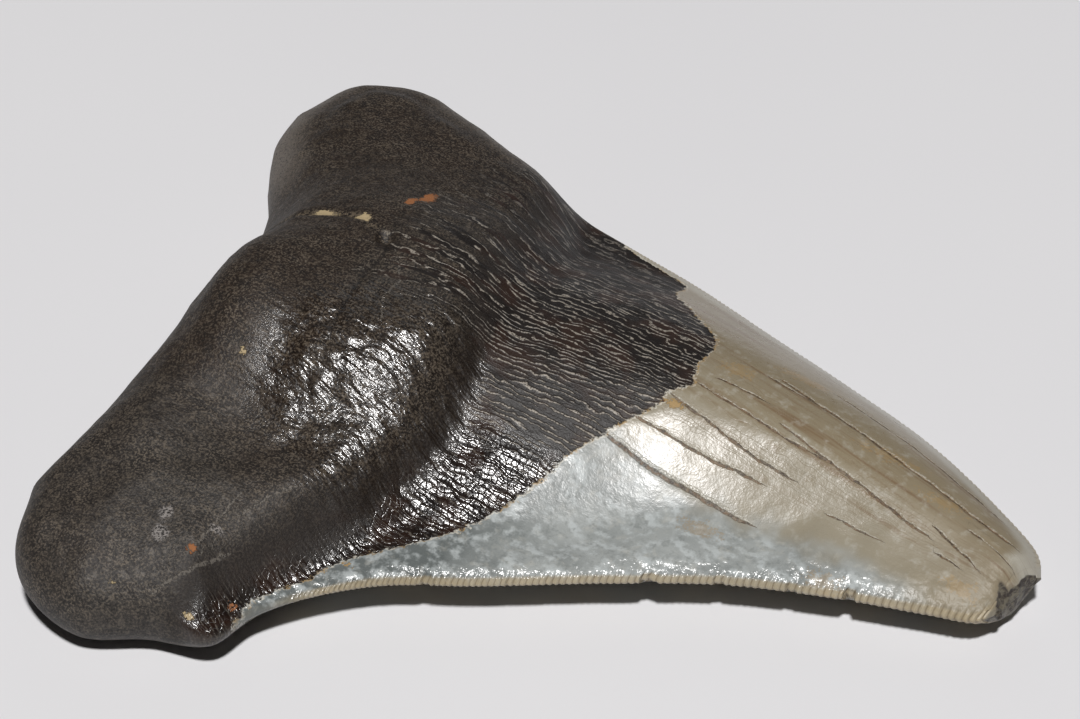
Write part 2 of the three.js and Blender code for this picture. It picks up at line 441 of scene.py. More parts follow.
def net_of_both_faces(coarse):
    """Every point of both faces once, as fine row, column and face, and the polygons on them."""
    cells = cell_corners(coarse)
    counts = np.array([len(cell) for cell in cells])
    flat = np.array([corner for cell in cells for corner in cell])
    back = np.array([corner for cell in cells for corner in reversed(cell)])

    def keys(corners, face):
        row, column = corners.T
        edge = (column == 0) | (column == COLUMNS) | (row == 0) | (row == ROWS * SPLIT)
        return (row * (COLUMNS + 1) + column) * 3 + np.where(edge, SHARED, face)

    every = np.concatenate([keys(flat, LINGUAL), keys(back, LABIAL)])
    unique, loops = np.unique(every, return_inverse=True)
    face = unique % 3
    row, column = np.divmod(unique // 3, COLUMNS + 1)
    return row, column, face, loops, np.concatenate([counts, counts])


# ---------------------------------------------------------------- heights of both faces


def lingual_height(station, across, x, y, edge_z, inside):
    nearer = smooth(0.5 - (y - DOME[1]) / 14)
    dome_x, dome_y, radius_x, radius_y, rise = DOME
    dome = [dome_x, dome_y, radius_x, lerp(radius_y, DOME_NEAR_RADIUS, nearer), rise]
    top = ROOT_TOP + mound(x, y, dome, lerp(MOUND_SQUARENESS, DOME_NEAR_SQUARENESS, nearer))
    top += sum(mound(x, y, shape, MOUND_SQUARENESS) for shape in ROOT_MOUNDS)
    rounding = lerp(ROOT_ROUNDING, NEAR_LOBE_ROUNDING, smooth((-22 - y) / 12) * smooth((x + 42) / 8))
    root = edge_z + (top - edge_z) * quarter_round(inside / rounding)
    crown = crown_height(station, across, x, edge_z)
    return lerp(root, crown, smooth(0.5 + (x - neck_x(y)) / NECK_WIDTH))


def crown_height(station, across, x, edge_z):
    from_crest = across - crest_shift(x) * (1 - across**2)
    fullness = lerp(near_fullness(x), far_fullness(x), smooth(0.5 + across * 1.5))
    return edge_z + (crest_at(station) - edge_z) * np.maximum(1 - from_crest**2, 0) ** fullness


def labial_height(station, across, x, y, edge_z, inside):
    bowl = np.maximum(0, mound(x, y, LABIAL_BOWL, 1.0) - LOBE_FLAT)
    root = edge_z - (edge_z - bowl) * quarter_round(inside / LABIAL_ROUNDING)
    sink = LABIAL_SINK - TIP_RISE * smooth((x - TIP_RISE_FROM) / (TIP_RISE_TO - TIP_RISE_FROM))
    broken = smooth(1 - (LAST - station) / BREAK_STATIONS)
    rim_z = lerp(edge_z, crown_height(station, across, x, edge_z), broken)
    crown = rim_z - (rim_z + sink) * (1 - across**2) * quarter_round((LAST - station) / BREAK_STATIONS)
    return np.maximum(0, lerp(root, crown, smooth(0.5 + (x - neck_x(y)) / NECK_WIDTH)))


def growth_line(x, y):
    """Which growth line of the bourlette a place is on: y where that line crosses x = -5."""
    line = y
    for _ in range(4):
        slope = np.where(line < 0, 0.10 + 0.008 * line, 0.10 - 0.40 * (1 - np.exp(-np.abs(line) / 11)))
        line = y - (x + 5) * slope
    return line


def growth_count(line):
    """Growth lines counted across the tooth: they lie further apart towards the far edge."""
    far = np.log(1 + GROWTH_SPREAD * np.maximum(line, 0) / GROWTH_PITCH) / GROWTH_SPREAD
    return np.minimum(line, 0) / GROWTH_PITCH + far


def near_bevel(across, station, x, inside):
    """The steep band along the near edge, which the serrations cross."""
    swells = sum(more * np.exp(-(((x - place) / half) ** 2)) for place, half, more in BEVEL_SWELLS)
    wide = BEVEL_WIDTH + swells
    rise = EDGE_BEVEL * wide / BEVEL_WIDTH * (smooth((inside + 0.4) / wide) - smooth(0.4 / wide))
    rise *= 1 - smooth((inside - wide) / 5)
    return rise * (across < 0) * smooth((station - 5.1) / 1.2) * smooth((LAST - 0.8 - station) / 1.2)


def crack_y(crack, x):
    start, end, y_start, y_end, sag = crack[:5]
    share = (x - start) / (end - start)
    stray = sum(
        height * np.sin(2 * math.pi * x / length + (number + 1) * 1.7 * start)
        for number, (length, height) in enumerate(CRACK_WAVES)
    )
    return lerp(y_start, y_end, share) + 4 * sag * share * (1 - share) + stray


def crack_window(crack, x):
    """1 along a crack, less where it is broken up, 0 beyond its ends."""
    start, end = crack[:2]
    broken = crack[7]
    dashes = 0.5 + 0.32 * np.sin(x * 2.1 + start * 5.3) + 0.32 * np.sin(x * 3.7 + start * 2.9)
    return smooth((x - start) / 1.0) * smooth((end - x) / 2.5) * (1 - broken * (1 - smooth(dashes * 1.6)))


def nearest_crack(cracks, x, y):
    """The signed distance to the nearest crack, and half the width of that crack there."""
    off = np.full(x.shape, 9.0)
    half = np.zeros(x.shape)
    for crack in cracks:
        here = y - crack_y(crack, x)
        window = crack_window(crack, x)
        closer = (np.abs(here) < np.abs(off)) & (window > 0)
        off = np.where(closer, here, off)
        half = np.where(closer, crack[5] * window, half)
    return off, half * smooth((1.3 - np.abs(off)) / 0.4)


def nearest_path(paths, half_width, x, y):
    """The signed distance to the nearest path, and the half width there, which ends with the path."""
    off = np.full(x.shape, 9.0)
    half = np.zeros(x.shape)
    for path in paths:
        steps = [math.dist(a, b) for a, b in zip(path[:-1], path[1:])]
        gone = 0.0
        for (ax, ay), (bx, by), step in zip(path[:-1], path[1:], steps):
            dx, dy = (bx - ax) / step, (by - ay) / step
            along = np.clip((x - ax) * dx + (y - ay) * dy, 0, step)
            here = np.hypot(x - ax - along * dx, y - ay - along * dy)
            side = np.where((y - ay) * dx - (x - ax) * dy < 0, -1.0, 1.0)
            closer = here < np.abs(off)
            off = np.where(closer, here * side, off)
            run = gone + along
            half = np.where(closer, half_width * smooth(run / 0.8) * smooth((sum(steps) - run) / 0.8), half)
            gone += step
    return off, half * smooth((2.0 - np.abs(off)) / 0.5)


def nearest_mark(marks, x, y):
    """0 in the middle of a mark, 1 on its outline, more outside."""
    nearest = np.full(x.shape, 3.0)
    for mark_x, mark_y, along, wide in marks:
        nearest = np.minimum(nearest, np.hypot((x - mark_x) / along, (y - mark_y) / wide))
    return nearest


def lingual_relief(x, y, past_enamel, past_valley):
    """What stands out of the lingual face and is cut into it."""
    relief = 0.16 * smooth(past_enamel / 0.5 + 0.5)
    relief -= 0.55 * np.exp(-((past_valley / 1.9) ** 2)) * smooth((4.0 - y) / 12)
    relief -= 0.32 * np.exp(-((distance_to(GROOVE, x, y) / 0.55) ** 2))
    relief -= 0.25 * np.exp(-((distance_to(ROOT_CRACK, x, y) / 0.4) ** 2))
    relief -= 1.1 * np.exp(-(((np.hypot(x - FORAMEN[0], y - FORAMEN[1])) / 0.9) ** 4))
    ring = np.hypot(x - RING[0], y - RING[1])
    relief += 0.18 * np.exp(-(((ring - 0.75) / 0.3) ** 2)) - 0.12 * np.exp(-((ring / 0.5) ** 2))
    return relief - crack_depth(x, y)


def crack_depth(x, y):
    depth = np.zeros(x.shape)
    for crack in CRACKS["odd"] + CRACKS["even"]:
        off = y - crack_y(crack, x)
        depth += CRACK_CUT * crack[6] * np.exp(-((off / crack[5]) ** 2)) * crack_window(crack, x)
    return depth



def chip_at_tip(x, y):
    """1 in the wedge that is broken out of the tip, 0 outside it."""
    under = CHIP_CORNER[1] - y
    beyond = x - CHIP_CORNER[0] - CHIP_LEAN * under
    return smooth(under / 0.35) * smooth(beyond / 0.5)


def outward_from(station, across):
    """The way out from the tooth across the nearer margin, in the plane of the table."""
    side = np.where(across < 0, -1.0, 1.0)
    ahead = np.minimum(station + 0.02, LAST)
    behind = np.maximum(station - 0.02, 0)
    on_near = side[:, None] < 0
    run = np.where(on_near, margin_curve(NEAR, ahead), margin_curve(FAR, ahead))
    run -= np.where(on_near, margin_curve(NEAR, behind), margin_curve(FAR, behind))
    run /= np.linalg.norm(run[:, :2], axis=1, keepdims=True)
    return np.stack([-side * run[:, 1], side * run[:, 0], np.zeros(len(run))], axis=-1)


def serrations_along(station, across):
    """Serrations counted along each margin, finer near the shoulder, and where they stand."""
    dense = np.linspace(0, LAST, 2601)
    pitch = lerp(SHOULDER_PITCH, CROWN_PITCH, smooth((dense[:-1] - 5.0) / 4.0))
    phase = np.zeros(len(station))
    toothed = np.zeros(len(station))
    edges = [("near", NEAR, across < 0, 1.0), ("far", FAR, across >= 0, FAR_SERRATIONS)]
    for name, curve, chosen, depth in edges:
        step = np.linalg.norm(np.diff(margin_curve(curve, dense), axis=0), axis=1)
        count = np.concatenate([[0], np.cumsum(step / pitch)])
        phase[chosen] = np.interp(station[chosen], dense, count)
        weight = smooth((station - TOOTHED_FROM[name]) / 0.5) * smooth((LAST - 0.35 - station) / 0.3)
        toothed[chosen] = weight[chosen] * depth
    return phase, toothed


def mesh_of(verts, loops, counts):
    mesh = bpy.data.meshes.new("tooth_fossil")
    mesh.vertices.add(len(verts))
    mesh.vertices.foreach_set("co", verts.astype(np.float32).ravel())
    mesh.loops.add(len(loops))
    mesh.loops.foreach_set("vertex_index", loops.astype(np.int32))
    mesh.polygons.add(len(counts))
    starts = np.concatenate([[0], np.cumsum(counts)[:-1]])
    mesh.polygons.foreach_set("loop_start", starts.astype(np.int32))
    mesh.polygons.foreach_set("use_smooth", np.ones(len(counts), bool))
    mesh.update(calc_edges=True)
    mesh.validate()
    return mesh


def build_tooth_mesh():
    """Both faces of the tooth in one closed mesh, with the measures that its finish reads."""
    coarse = row_stations()
    row, column, face, loops, counts = net_of_both_faces(coarse)
    station = np.interp(row / SPLIT, np.arange(ROWS + 1), coarse)
    across = column_across(station, column)
    x, y, edge_z = net_point(station, across).T
    loop_rows = np.linspace(0, LAST, 391)
    basal = net_point(np.zeros(59), np.linspace(-1, 1, 61)[1:-1])
    margin = np.vstack([margin_curve(FAR, loop_rows), margin_curve(NEAR, loop_rows)[::-1], basal])
    inside = distance_to(margin, x, y, closed=True)
    inside[face == SHARED] = 0
    at_break = row == ROWS * SPLIT

    past_lingual = past_line(lingual_enamel_x, x, y)
    past_labial = past_line(labial_enamel_x, x, y)
    past_valley = past_line(valley_x, x, y)
    from_edge = smooth(inside / 1.5)
    chosen = np.where(face == LABIAL, past_labial, past_lingual)
    past_enamel = lerp((past_lingual + past_labial) / 2, chosen, from_edge)

    chipped = chip_at_tip(x, y) * (face == LINGUAL)
    break_width = np.where(face == LABIAL, 0.55, 0.05)
    broken_end = smooth((station - LAST + break_width) / 0.05)
    rim = RIM_HALF * quarter_round(inside / RIM_ROUND) * (1 - smooth((inside - RIM_ROUND) / RIM_FADE))
    upper = lingual_height(station, across, x, y, edge_z, inside) + rim
    upper += near_bevel(across, station, x, inside)
    crease = np.exp(-(((inside - 5.5) / 1.6) ** 2)) * smooth((y - 24) / 6) * smooth((-22 - x) / 8)
    upper -= LOBE_CREASE * crease
    upper += lingual_relief(x, y, past_enamel, past_valley) * smooth(inside / 1.2)
    upper = np.maximum(upper - CHIP_DEPTH * chipped, edge_z)
    lower = labial_height(station, across, x, y, edge_z, inside) - rim
    lower -= 0.12 * smooth(past_enamel / 0.5 + 0.5) * smooth(inside / 1.2)
    lower += crack_depth(x, -y) * smooth(inside / 1.2)
    z = np.where(face == LINGUAL, upper, np.where(face == LABIAL, np.maximum(lower, 0), edge_z))
    z = np.where(at_break, crown_height(station, across, x, edge_z) - CHIP_DEPTH * chip_at_tip(x, y), z)
    jag = BREAK_JAG * (np.sin(y * 2.3) + 0.6 * np.sin(y * 5.1 + 1)) * (1 - across**4)
    x += jag * smooth((station - LAST + 0.5) / 0.5)

    outward = outward_from(station, across)
    near_band = (across < 0) & (station > TOOTHED_FROM["near"])
    for nick_x, half, depth in NICKS:
        bite = depth * np.exp(-(((x - nick_x) / half) ** 4)) * np.exp(-((inside / 0.9) ** 2)) * near_band
        x -= outward[:, 0] * bite
        y -= outward[:, 1] * bite

    mesh = mesh_of(np.stack([x, y, z], axis=-1) * UNIT + np.array(PLACE), loops, counts)
    wrinkled = np.exp(-((((x + 14.5) / 12.5) ** 2 + ((y + 12.5) / 11.5) ** 2) ** 1.5))
    wrinkled *= smooth((-past_enamel - 1) / 3) * (face == LINGUAL) * smooth(inside / 4)
    lingual = np.where(face == LABIAL, 1 - from_edge, 1.0) * 0.5
    lingual += np.where(face == LINGUAL, from_edge, 0) * 0.5
    phase, toothed = serrations_along(station, across)
    measures = {
        "past_enamel": past_enamel,
        "past_valley": past_valley,
        "chipped": np.maximum(chipped, broken_end),
        "slant": growth_line(x, y),
        "growth": growth_count(growth_line(x, y)),
        "groove": distance_to(GROOVE, x, y),
        "inside": inside,
        "serration": phase,
        "toothed": toothed,
        "wrinkled": wrinkled,
        "lingual": lingual,
        "near_side": smooth(0.5 - across * 2),
    }
    crack_side = np.where(face == LABIAL, -y, y)
    for name, cracks in CRACKS.items():
        measures[name + "_crack_off"], measures[name + "_crack_half"] = nearest_crack(cracks, x, crack_side)
    measures["scratch_off"], half = nearest_path(SCRATCHES, 0.16, x, y)
    measures["scratch_half"] = half * (face == LINGUAL)
    measures["root_crack_off"], half = nearest_path([ROOT_CRACK], 0.22, x, y)
    measures["root_crack_half"] = half * (face == LINGUAL)
    for name, marks in MARKS.items():
        measures[name] = np.where(face == LABIAL, 3.0, nearest_mark(marks, x, y))
    for name, values in measures.items():
        layer = mesh.attributes.new(name, "FLOAT", "POINT")
        layer.data.foreach_set("value", values.astype(np.float32))
    layer = mesh.attributes.new("outward", "FLOAT_VECTOR", "POINT")
    layer.data.foreach_set("vector", outward.astype(np.float32).ravel())
    return mesh


# ---------------------------------------------------------------- wires and trees


class Wire:
    """A socket that sums can be written with. Each sum adds its Math or Vector Math node."""

    def __init__(self, tree, socket):
        self.tree = tree
        self.socket = socket

    def sum(self, operation, *terms):
        vectors = [t for t in terms if isinstance(t, Wire) and t.socket.type == "VECTOR"]
        kind = "ShaderNodeVectorMath" if vectors else "ShaderNodeMath"
        return self.tree.node(kind, {"operation": operation}, dict(enumerate(terms)))

    def __add__(self, other):
        return self.sum("ADD", self, other)

    def __radd__(self, other):
        return self.sum("ADD", other, self)

    def __sub__(self, other):
        return self.sum("SUBTRACT", self, other)

    def __rsub__(self, other):
        return self.sum("SUBTRACT", other, self)

    def __mul__(self, other):
        return self.sum("MULTIPLY", self, other)

    def __rmul__(self, other):
        return self.sum("MULTIPLY", other, self)

    def __truediv__(self, other):
        return self.sum("DIVIDE", self, other)

    def __rtruediv__(self, other):
        return self.sum("DIVIDE", other, self)

    def __pow__(self, other):
        return self.sum("POWER", self, other)

    def __abs__(self):
        return self.sum("ABSOLUTE", self)

    def least(self, other):
        return self.sum("MINIMUM", self, other)

    def most(self, other):
        return self.sum("MAXIMUM", self, other)

    def sine(self):
        return self.sum("SINE", self)

    def floor(self):
        return self.sum("FLOOR", self)

    def times(self, factor):
        """A vector made longer by a number."""
        return self.tree.node("ShaderNodeVectorMath", {"operation": "SCALE"}, {0: self, "Scale": factor})

    def ramp(self, start, end, low=0.0, high=1.0):
        """Eased from low to high while this goes from start to end, and held outside."""
        settings = {"interpolation_type": "SMOOTHSTEP", "clamp": True}
        if start > end:
            start, end, low, high = end, start, high, low
        return self.tree.node("ShaderNodeMapRange", settings, {0: self, 1: start, 2: end, 3: low, 4: high})


class Tree:
    """A node tree that is written as expressions."""

    def __init__(self, node_tree):
        self.nodes = node_tree.nodes
        self.links = node_tree.links

    def node(self, kind, settings=None, values=None, output=0):
        made = self.nodes.new(kind)
        for name, setting in (settings or {}).items():
            setattr(made, name, setting)
        for name, value in (values or {}).items():
            if isinstance(value, Wire):
                self.links.new(value.socket, made.inputs[name])
            else:
                made.inputs[name].default_value = value
        return Wire(self, made.outputs[output])

    def mix(self, share, first, second):
        """From the first colour to the second."""
        return self.node("ShaderNodeMix", {"data_type": "RGBA"}, {0: share, 6: first, 7: second}, 2)

    def blend(self, share, first, second):
        """From the first number to the second."""
        return self.node("ShaderNodeMix", {"data_type": "FLOAT"}, {0: share, 2: first, 3: second})

    def vector(self, x=0.0, y=0.0, z=0.0):
        return self.node("ShaderNodeCombineXYZ", None, {0: x, 1: y, 2: z})

    def parts(self, vector):
        made = self.node("ShaderNodeSeparateXYZ", None, {0: vector})
        node = made.socket.node
        return [Wire(self, node.outputs[number]) for number in range(3)]

    def noise(self, place, scale, detail=2.0, roughness=0.5, distortion=0.0, seed=0.0):
        """Clouds about 0.5, different for each seed."""
        if seed:
            place = place + self.vector(seed * 7.3, seed * 3.1, seed * 11.7)
        values = {"Vector": place, "Scale": scale, "Detail": detail}
        values.update({"Roughness": roughness, "Distortion": distortion})
        return self.node("ShaderNodeTexNoise", {"noise_dimensions": "3D"}, values)


def colour(red, green, blue):
    """A paint given as on a paint chart, 0 to 255, as the light it sends back."""
    light = []
    for part in (red, green, blue):
        share = part / 255
        light.append(share / 12.92 if share <= 0.04045 else ((share + 0.055) / 1.055) ** 2.4)
    return (*light, 1.0)


# ---------------------------------------------------------------- serrations and wrinkles


def serration_tree():
    """Cuts the serrations along both edges, and raises the wrinkles and lumps of the root."""
    group = bpy.data.node_groups.new("edge_serrations", "GeometryNodeTree")
    group.interface.new_socket("Geometry", in_out="OUTPUT", socket_type="NodeSocketGeometry")
    kinds = [
        ("Geometry", "NodeSocketGeometry"),
        ("Notch Depth", "NodeSocketFloat"),
        ("Notch Reach", "NodeSocketFloat"),
        ("Ridge Height", "NodeSocketFloat"),
        ("Lump Height", "NodeSocketFloat"),
        ("Lump Size", "NodeSocketFloat"),
        ("Wrinkle Height", "NodeSocketFloat"),
        ("Wrinkle Width", "NodeSocketFloat"),
        ("Wrinkle Length", "NodeSocketFloat"),
        ("Millimetre", "NodeSocketFloat"),
        ("Table Height", "NodeSocketFloat"),
        ("Seed", "NodeSocketFloat"),
        ("Material", "NodeSocketMaterial"),
    ]
    for name, kind in kinds:
        group.interface.new_socket(name, in_out="INPUT", socket_type=kind)
    tree = Tree(group)
    inputs = tree.nodes.new("NodeGroupInput")
    given = {name: Wire(tree, inputs.outputs[name]) for name, kind in kinds}

    def measure(name, kind="FLOAT"):
        return tree.node("GeometryNodeInputNamedAttribute", {"data_type": kind}, {"Name": name}, "Attribute")

    millimetre = given["Millimetre"]
    seed = given["Seed"]
    inside = measure("inside")
    toothed = measure("toothed")
    phase = measure("serration")
    side = measure("near_side")
    past_enamel = measure("past_enamel")
    outward = measure("outward", "FLOAT_VECTOR")

    nearest = (phase + 0.5).floor()
    away = abs(phase - nearest) * 2
    drawn_lot = {"Vector": tree.vector(nearest, side), "W": seed}
    luck = tree.node("ShaderNodeTexWhiteNoise", {"noise_dimensions": "4D"}, drawn_lot)
    notch = (1 - away) ** 1.6 * (0.55 + luck * 0.9)
    close = (1 - (inside / given["Notch Reach"]).least(1.0)) ** 1.5
    cut = outward.times(notch * close * toothed * given["Notch Depth"] * -1.0 * millimetre)

    normal = tree.node("GeometryNodeInputNormal")
    position = tree.node("GeometryNodeInputPosition")
    band = inside.ramp(0.05, 0.3) * inside.ramp(1.0, 0.5)
    ridge = (away ** 0.7 - 0.6) * (0.5 + luck) * band * toothed * given["Ridge Height"]

    drawn = position.times(1.0 / millimetre)
    dx, dy, dz = tree.parts(drawn)
    bulk = past_enamel.ramp(0.0, -3.0, 0.2, 1.0) * inside.ramp(0.4, 3.0)
    shifted = drawn + tree.vector(seed * 7.3, seed * 3.1, seed)
    lumps = (tree.noise(shifted, 1.0 / given["Lump Size"], 2.0) - 0.5) * 2 * bulk * given["Lump Height"]
    folded = tree.vector(
        (dx - dy * 0.15) / given["Wrinkle Length"],
        (dy + dx * 0.15) / given["Wrinkle Width"],
        dz / given["Wrinkle Length"] + seed,
    )
    folds = tree.noise(folded, 1.0, 1.0, 0.4, 0.6)
    wrinkles = (abs(folds - 0.5) * 2.0).ramp(0.0, 0.35) - 0.8
    raised = wrinkles * measure("wrinkled") * given["Wrinkle Height"]

    lift = normal.times((ridge + lumps + raised) * millimetre)
    moved = tree.node("GeometryNodeSetPosition", None, {"Geometry": given["Geometry"], "Offset": cut + lift})
    mx, my, mz = tree.parts(tree.node("GeometryNodeInputPosition"))
    held = tree.vector(mx, my, mz.most(given["Table Height"]))
    rested = tree.node("GeometryNodeSetPosition", None, {"Geometry": moved, "Position": held})
    whole = tree.node("GeometryNodeRealizeInstances", None, {"Geometry": rested})
    finished = tree.node("GeometryNodeSetMaterial", None, {"Geometry": whole, "Material": given["Material"]})
    outputs = tree.nodes.new("NodeGroupOutput")
    tree.links.new(finished.socket, outputs.inputs["Geometry"])
    return group


SERRATION_SIZES = {
    "Notch Depth": 0.18,
    "Notch Reach": 0.85,
    "Ridge Height": 0.09,
    "Lump Height": 0.42,
    "Lump Size": 5.5,
    "Wrinkle Height": 0.30,
    "Wrinkle Width": 2.0,
    "Wrinkle Length": 6.0,
    "Millimetre": UNIT,
    "Table Height": low.z,
    "Seed": 11.0,
}


def make_tooth(material):
    """The tooth as one plain mesh, with its serrations and wrinkles in it."""
    drawn = bpy.data.objects.new("tooth_blank", build_tooth_mesh())
    bpy.context.scene.collection.objects.link(drawn)
    group = serration_tree()
    modifier = drawn.modifiers.new("serrations", "NODES")
    modifier.node_group = group
    for item in group.interface.items_tree:
        if item.item_type == "SOCKET" and item.in_out == "INPUT":
            if item.name in SERRATION_SIZES:
                modifier[item.identifier] = SERRATION_SIZES[item.name]
            elif item.name == "Material":
                modifier[item.identifier] = material
    seen = bpy.context.evaluated_depsgraph_get()
    shaped = drawn.evaluated_get(seen)
    mesh = bpy.data.meshes.new_from_object(shaped, preserve_all_data_layers=True, depsgraph=seen)
    drawn.modifiers.remove(modifier)
    bpy.data.objects.remove(drawn)
    mesh.name = "tooth_fossil"
    tooth = bpy.data.objects.new("tooth_fossil", mesh)
    bpy.context.scene.collection.objects.link(tooth)
    return tooth


# ---------------------------------------------------------------- the fossil's finish

ROOT_BROWN = colour(38, 27, 18)
ROOT_GREY = colour(52, 48, 44)
ROOT_RIM_LIGHT = colour(124, 117, 110)
ROOT_FLECK = colour(120, 109, 95)
ROOT_PORE = colour(20, 15, 12)
ROOT_SCRATCH = colour(112, 106, 98)
ROOT_GLINT_PAINT = colour(176, 170, 166)
GROOVE_DUST = colour(112, 100, 84)
VALLEY_SHADE = colour(30, 23, 18)
BOURLETTE_DARK = colour(24, 18, 15)
BOURLETTE_BROWN = colour(44, 28, 20)
BOURLETTE_LINE_AND_GLINT = colour(170, 162, 150)
ENAMEL_GREY = colour(163, 167, 165)
ENAMEL_SLATE = colour(104, 109, 108)
ENAMEL_WARM = colour(154, 146, 128)
ENAMEL_BEIGE = colour(142, 130, 107)
ENAMEL_BROWN = colour(112, 84, 56)
ENAMEL_PALE_AND_LIT = colour(196, 194, 184)
ENAMEL_SHEEN = colour(196, 202, 202)
CRACK_BROWN = colour(58, 42, 30)
CRACK_TAN = colour(112, 86, 60)
LIP_WHITE = colour(220, 216, 204)
SEDIMENT_SAND = colour(190, 170, 132)
SEDIMENT_ORANGE = colour(168, 108, 64)
STAIN = colour(168, 134, 76)
RIM_TAN = colour(188, 172, 140)
SERRATION_GAP_SHADE = colour(92, 74, 52)
CHIP_DARK = colour(58, 50, 44)
CHIP_GREY = colour(108, 102, 88)


class Readings:
    """What the finishes read off the tooth: place in millimetres, measures and shared clouds."""

    def __init__(self, tree):
        place = tree.node("ShaderNodeTexCoord", None, None, "Object")
        settings = {"vector_type": "TEXTURE"}
        values = {"Vector": place, "Location": tuple(PLACE), "Scale": (UNIT,) * 3}
        self.tree = tree
        self.drawn = tree.node("ShaderNodeMapping", settings, values)
        self.x, self.y, self.z = tree.parts(self.drawn)
        self.past_enamel = self.measure("past_enamel")
        self.past_valley = self.measure("past_valley")
        self.inside = self.measure("inside")
        self.toothed = self.measure("toothed")
        self.near_side = self.measure("near_side")
        self.lingual = self.measure("lingual").ramp(0.35, 0.65)
        self.clouds = tree.noise(self.drawn, 0.22, 2.0, 0.6)
        self.grain = tree.noise(self.drawn, 4.2, 2.0, 0.7)
        self.jag = tree.noise(self.drawn, 1.2, 2.0, 0.7)
        self.wave = tree.noise(tree.vector(self.x * 0.5, self.y * 0.8, 5.0), 1.0, 1.0, 0.5)
        self.slant = self.measure("slant")
        self.polished = self.measure("wrinkled").ramp(0.10, 0.55)
        self.near_flank = self.y.ramp(-7.0, -11.5)
        self.fan = (self.y + 5 + (self.x - 13) * 0.086) * 73 / (86 - self.x)

    def measure(self, name):
        settings = {"attribute_type": "GEOMETRY", "attribute_name": name}
        return self.tree.node("ShaderNodeAttribute", settings, None, "Fac")

    def mark(self, name, ragged=1.6):
        """1 inside ragged spots on the lingual face."""
        return (self.measure(name) + (self.jag + self.grain - 1) * ragged).ramp(1.1, 0.8)

    def line(self, name, stray=0.0):
        """How many half widths this place lies off the nearest line, less than 0 on its lower side."""
        return (self.measure(name + "_off") + stray) / self.measure(name + "_half").most(0.001)


def root_finish(tree, at):
    """Dark mineral crust, browner at the basal side, with grey flecks, pores and scratches, painted shade
    along the valley, painted light on the far lobe's rolled edge and painted glints on a few spots.
    """
    broad = tree.noise(at.drawn, 0.09, 2.0, 0.55, 0.0, 1.0)
    basal = at.x.ramp(-30.0, -44.0)
    near_lobe = at.y.ramp(-22.0, -36.0)
    middle = at.y.ramp(-24.0, -10.0) * at.x.ramp(-20.0, -28.0)
    browner = (broad * 1.6 - 0.3 + basal * 0.25 + middle * 0.8 - near_lobe * 0.35).least(1.0).most(0.0)
    paint = tree.mix(browner, ROOT_GREY, ROOT_BROWN)
    paint = tree.mix((at.wave + at.jag - 0.5).ramp(0.55, 0.35) * 0.5, paint, ROOT_PORE)
    # Painted light: the far lobe's rolled edge is painted a lighter grey.
    rolled = at.inside.ramp(6.0, 1.0) * at.y.ramp(14.0, 24.0)
    paint = tree.mix(rolled * 0.8, paint, ROOT_RIM_LIGHT)
    flecks = at.grain.ramp(0.50, 0.62) * (at.clouds * 1.6 - 0.2).most(0.3)
    paint = tree.mix(at.jag.ramp(0.50, 0.72) * 0.22, paint, ROOT_FLECK)
    paint = tree.mix(flecks * 0.70, paint, ROOT_FLECK)
    pores = at.grain.ramp(0.47, 0.35)
    paint = tree.mix(pores * 0.85, paint, ROOT_PORE)
    # Painted shade: a dark band along the valley between the dome and the bourlette.
    valley = abs(at.past_valley + (at.clouds - 0.5) * 2).ramp(3.4, 0.8) * at.lingual
    paint = tree.mix(valley * 0.8, paint, VALLEY_SHADE)
    trough = at.measure("groove").ramp(1.1, 0.2) * at.lingual
    paint = tree.mix(trough * 0.6, paint, ROOT_PORE)
    dusty = trough * (at.jag + at.grain - 0.5).ramp(0.48, 0.62)
    paint = tree.mix(dusty * 0.8, paint, GROOVE_DUST)
    opened = abs(at.line("root_crack", (at.jag - 0.5) * 0.6)).ramp(1.2, 0.4)
    paint = tree.mix(opened * 0.6, paint, ROOT_PORE)
    scratched = abs(at.line("scratch", (at.jag - 0.5) * 0.8)).ramp(1.2, 0.4) * at.grain.ramp(0.38, 0.5)
    paint = tree.mix(scratched * 0.6, paint, ROOT_SCRATCH)

    # Painted glints: a few small spots on the near lobe are painted pale where highlights fall.
    painted_glint = at.mark("painted_glint") * at.grain.ramp(0.42, 0.56)
    paint = tree.mix(painted_glint * 0.5, paint, ROOT_GLINT_PAINT)

    crumple = tree.noise(tree.vector(at.x * 0.45, (at.y + at.x * 0.16) * 1.25, at.z * 0.3), 1.0, 2.0, 0.55)
    uneven = (0.35 + at.polished * 0.65) * at.y.ramp(14.0, -2.0, 0.3, 1.0)
    height = (at.grain - 0.5) * (0.085 - at.polished * 0.040) + (crumple - 0.5) * 0.34 * uneven
    height = height - scratched * 0.04
    roughness = 0.60 - at.polished * 0.27 - at.jag.ramp(0.5, 0.7) * 0.10
    roughness = roughness + (at.clouds - 0.5) * 0.15 + valley * 0.1
    return paint, height, roughness


